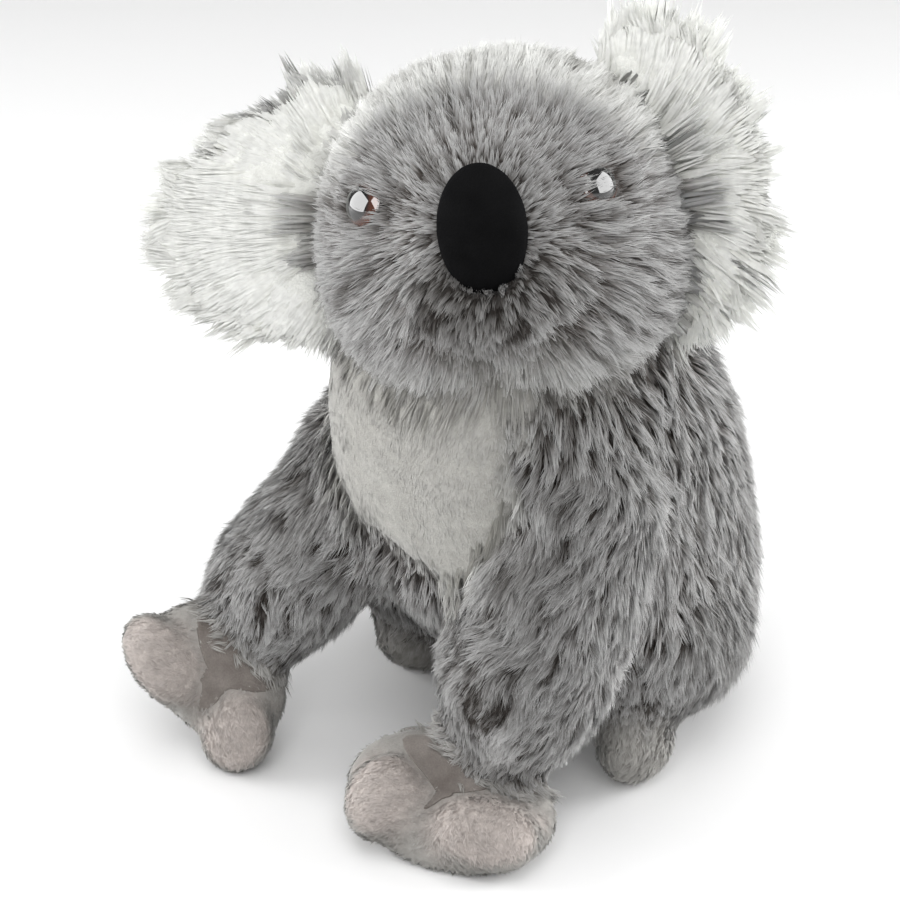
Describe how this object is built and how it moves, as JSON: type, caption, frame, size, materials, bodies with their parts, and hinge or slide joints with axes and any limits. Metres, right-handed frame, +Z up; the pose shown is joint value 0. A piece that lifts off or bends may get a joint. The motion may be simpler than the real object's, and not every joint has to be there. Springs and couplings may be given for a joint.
{
  "type": "plush koala toy",
  "caption": "Soft stuffed koala toy sitting upright, front legs planted ahead, head turned and tipped up, with wide fluffy ears.",
  "frame": {"origin": "on the floor, under the middle of the toy's bounding box", "axes": "+Z up, -Y the way the toy's body faces, +X the toy's own left"},
  "size_m": [0.1548, 0.1766, 0.2314],
  "materials": {
    "grey_plush": "long mottled pile, dark roots and silver tips",
    "white_plush": "soft off-white pile",
    "taupe_plush": "short soft pile",
    "sole_suede": "very short brushed pile",
    "nose_velvet": "flocked velvet",
    "eye_plastic": "polished dome"
  },
  "bodies": {
    "root": {"head": "grey_plush", "muzzle": "grey_plush", "nose": "nose_velvet", "eye_left": "eye_plastic", "eye_right": "eye_plastic", "ear_left": "white_plush", "ear_right": "white_plush", "trunk": "grey_plush", "bib": "white_plush", "arm_left": "grey_plush", "arm_right": "grey_plush", "paw_left": "sole_suede", "paw_right": "sole_suede", "fingers_left": "taupe_plush", "fingers_right": "taupe_plush", "thumb_left": "taupe_plush", "thumb_right": "taupe_plush", "leg_left": "grey_plush", "leg_right": "grey_plush", "foot_left": "taupe_plush", "foot_right": "taupe_plush"}
  },
  "joints": []
}
